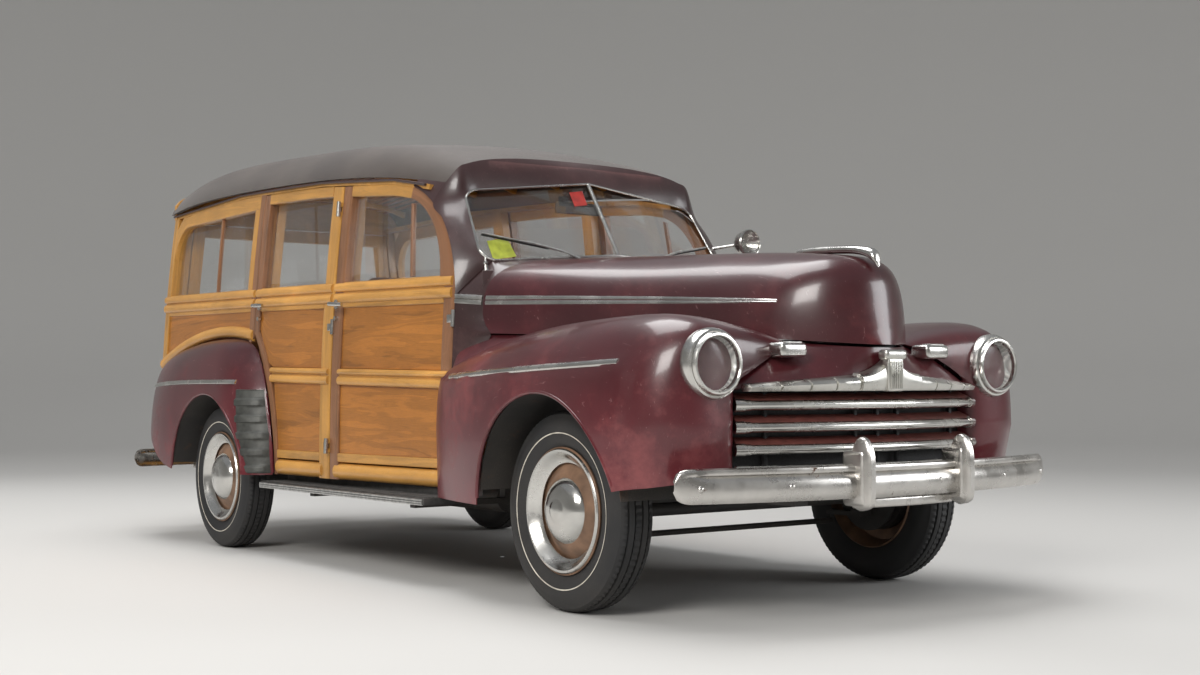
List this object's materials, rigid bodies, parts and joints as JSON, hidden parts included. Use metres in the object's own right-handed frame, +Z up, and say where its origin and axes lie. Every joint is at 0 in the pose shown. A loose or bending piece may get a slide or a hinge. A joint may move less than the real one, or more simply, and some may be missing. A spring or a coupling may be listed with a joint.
{
  "type": "wood-bodied station wagon",
  "caption": "Three-row station wagon with a framed wooden body, steel front end, fabric roof, opening doors, hood and two-part rear gate.",
  "frame": {"origin": "on the floor under the middle of the car's length and width", "axes": "+X forward, +Y to the car's left, +Z up"},
  "size_m": [5.018, 1.871, 1.9643],
  "materials": {
    "paint": "aged oxblood paint, half gloss, scuffed low down",
    "dash_paint": "brown enamel",
    "wheel_paint": "faded tan paint with rust, bright cap",
    "frame_steel": "black chassis paint, dusty",
    "light_wood": "varnished light hardwood, worn",
    "panel_wood": "varnished figured panel, worn",
    "floor_wood": "painted boards",
    "roof_fabric": "coated cloth over slats, dull",
    "bright_metal": "worn bright plating",
    "seat_leather": "dark brown trimmed benches",
    "window_glass": "clear",
    "tail_lens": "red lens",
    "dash_plastic": "dark brown rim",
    "tyre_rubber": "worn rubber"
  },
  "bodies": {
    "body": {"frame_rails": "frame_steel", "cross_members": "frame_steel", "engine_block": "frame_steel", "front_axle": "frame_steel", "rear_axle": "frame_steel", "floor_pan": "floor_wood", "cowl": "paint", "dashboard": "dash_paint", "roof": "roof_fabric", "body_frame": "light_wood", "quarters": "panel_wood", "front_fenders": "paint", "rear_fenders": "paint", "nose_panel": "paint", "grille": "bright_metal", "front_lamps": "bright_metal", "front_bumper": "bright_metal", "rear_bumper": "bright_metal", "running_boards": "frame_steel", "front_seat": "seat_leather", "middle_seat": "seat_leather", "rear_seat": "seat_leather", "steering_column": "dash_paint", "body_glass": "window_glass", "tail_lamps": "tail_lens", "spotlight": "bright_metal", "exhaust": "frame_steel", "fuel_tank": "frame_steel"},
    "hood": {"hood": "paint"},
    "door_front_left": {"door_front_left": "panel_wood", "glass_front_left": "window_glass"},
    "door_front_right": {"door_front_right": "panel_wood", "glass_front_right": "window_glass"},
    "door_rear_left": {"door_rear_left": "panel_wood", "glass_rear_left": "window_glass"},
    "door_rear_right": {"door_rear_right": "panel_wood", "glass_rear_right": "window_glass"},
    "liftgate": {"liftgate": "panel_wood", "liftgate_glass": "window_glass"},
    "tailgate": {"tailgate": "panel_wood"},
    "spare": {"spare_wheel": "wheel_paint", "spare_tyre": "tyre_rubber"},
    "knuckle_left": {"knuckle_left": "frame_steel"},
    "knuckle_right": {"knuckle_right": "frame_steel"},
    "tie_rod": {"tie_rod": "frame_steel"},
    "steering_wheel": {"steering_wheel": "dash_plastic"},
    "wheel_front_left": {"wheel_front_left": "wheel_paint", "tyre_front_left": "tyre_rubber"},
    "wheel_front_right": {"wheel_front_right": "wheel_paint", "tyre_front_right": "tyre_rubber"},
    "wheel_rear_left": {"wheel_rear_left": "wheel_paint", "tyre_rear_left": "tyre_rubber"},
    "wheel_rear_right": {"wheel_rear_right": "wheel_paint", "tyre_rear_right": "tyre_rubber"}
  },
  "joints": [
    {"name": "door_front_right_hinge", "type": "hinge", "parent": "body", "child": "door_front_right", "pos_m": [0.77, -0.71362, 1.04], "axis": [0, 0.0593, 0.9982], "range_deg": [0, 65]},
    {"name": "door_front_left_hinge", "type": "hinge", "parent": "body", "child": "door_front_left", "pos_m": [0.77, 0.71362, 1.04], "axis": [0, 0.0593, -0.9982], "range_deg": [0, 65]},
    {"name": "door_rear_right_hinge", "type": "hinge", "parent": "body", "child": "door_rear_right", "pos_m": [-0.181, -0.76162, 1.04], "axis": [0, 0.0593, 0.9982], "range_deg": [0, 65]},
    {"name": "door_rear_left_hinge", "type": "hinge", "parent": "body", "child": "door_rear_left", "pos_m": [-0.181, 0.76162, 1.04], "axis": [0, 0.0593, -0.9982], "range_deg": [0, 65]},
    {"name": "hood_hinge", "type": "hinge", "parent": "body", "child": "hood", "pos_m": [0.926, 0, 1.259], "axis": [0, -1, 0], "range_deg": [0, 48]},
    {"name": "liftgate_hinge", "type": "hinge", "parent": "body", "child": "liftgate", "pos_m": [-2.256, 0, 1.684], "axis": [0, 1, 0], "range_deg": [0, 80]},
    {"name": "tailgate_hinge", "type": "hinge", "parent": "body", "child": "tailgate", "pos_m": [-2.256, 0, 0.702], "axis": [0, -1, 0], "range_deg": [0, 90]},
    {"name": "spare_pivot", "type": "hinge", "parent": "tailgate", "child": "spare", "pos_m": [-2.272, 0, 1.175], "axis": [0, -1, 0], "range_deg": [-90, 0]},
    {"name": "steer_right", "type": "hinge", "parent": "body", "child": "knuckle_right", "pos_m": [1.641, -0.622, 0.33], "axis": [0, 0, 1], "range_deg": [-30, 30]},
    {"name": "steer_left", "type": "hinge", "parent": "body", "child": "knuckle_left", "pos_m": [1.641, 0.622, 0.33], "axis": [0, 0, 1], "range_deg": [-30, 30]},
    {"name": "tie_rod_pin", "type": "hinge", "parent": "knuckle_right", "child": "tie_rod", "pos_m": [1.491, -0.622, 0.262], "axis": [0, 0, 1], "range_deg": [-30, 30]},
    {"name": "steering_wheel_turn", "type": "hinge", "parent": "body", "child": "steering_wheel", "pos_m": [0.5, 0.36, 1.11], "axis": [-0.7359, 0.0023, 0.6771], "range_deg": [-510, 510]},
    {"name": "wheel_front_right_spin", "type": "hinge", "parent": "knuckle_right", "child": "wheel_front_right", "pos_m": [1.641, -0.7365, 0.345], "axis": [0, 1, 0], "continuous": true},
    {"name": "wheel_front_left_spin", "type": "hinge", "parent": "knuckle_left", "child": "wheel_front_left", "pos_m": [1.641, 0.7365, 0.345], "axis": [0, 1, 0], "continuous": true},
    {"name": "wheel_rear_right_spin", "type": "hinge", "parent": "body", "child": "wheel_rear_right", "pos_m": [-1.255, -0.762, 0.345], "axis": [0, 1, 0], "continuous": true},
    {"name": "wheel_rear_left_spin", "type": "hinge", "parent": "body", "child": "wheel_rear_left", "pos_m": [-1.255, 0.762, 0.345], "axis": [0, 1, 0], "continuous": true}
  ],
  "couplings": [
    {"joint": "steer_left", "follows": "steer_right", "ratio": 1},
    {"joint": "tie_rod_pin", "follows": "steer_right", "ratio": -1},
    {"joint": "steering_wheel_turn", "follows": "steer_right", "ratio": 17},
    {"joint": "spare_pivot", "follows": "tailgate_hinge", "ratio": -1}
  ]
}
